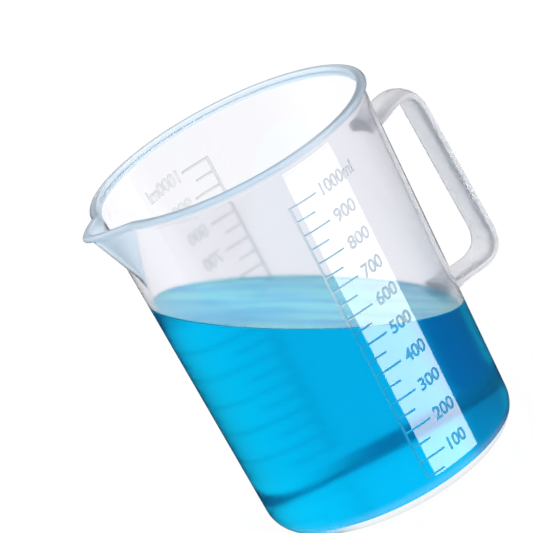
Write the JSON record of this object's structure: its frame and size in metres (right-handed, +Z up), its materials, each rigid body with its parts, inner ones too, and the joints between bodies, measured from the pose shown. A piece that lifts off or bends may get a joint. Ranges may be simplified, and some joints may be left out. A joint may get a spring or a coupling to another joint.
{
  "type": "plastic beaker with handle",
  "caption": "Clear tapered plastic beaker with a beaded rim, pouring spout, strap handle and raised volume scales, for measuring and pouring liquids.",
  "frame": {"origin": "centre of the flat underside, on the cup's axis", "axes": "+Z up along the cup's axis, +X towards the handle, -X towards the spout, -Y towards the front scale"},
  "size_m": [0.1455, 0.1132, 0.1447],
  "materials": {
    "clear_plastic": "clear polypropylene, smooth, faintly cool in colour",
    "handle_plastic": "the same clear polypropylene, thicker, so milkier",
    "raised_marks": "raised moulded lines and numbers, slightly frosted",
    "blue_liquid": null
  },
  "bodies": {
    "root": {"vessel": "clear_plastic", "handle": "handle_plastic", "front_scale": "raised_marks", "front_numeral_100": "raised_marks", "front_numeral_200": "raised_marks", "front_numeral_300": "raised_marks", "front_numeral_400": "raised_marks", "front_numeral_500": "raised_marks", "front_numeral_600": "raised_marks", "front_numeral_700": "raised_marks", "front_numeral_800": "raised_marks", "front_numeral_900": "raised_marks", "front_numeral_1000": "raised_marks", "back_scale": "raised_marks", "back_numeral_100": "raised_marks", "back_numeral_200": "raised_marks", "back_numeral_300": "raised_marks", "back_numeral_400": "raised_marks", "back_numeral_500": "raised_marks", "back_numeral_600": "raised_marks", "back_numeral_700": "raised_marks", "back_numeral_800": "raised_marks", "back_numeral_900": "raised_marks", "back_numeral_1000": "raised_marks"}
  },
  "joints": []
}
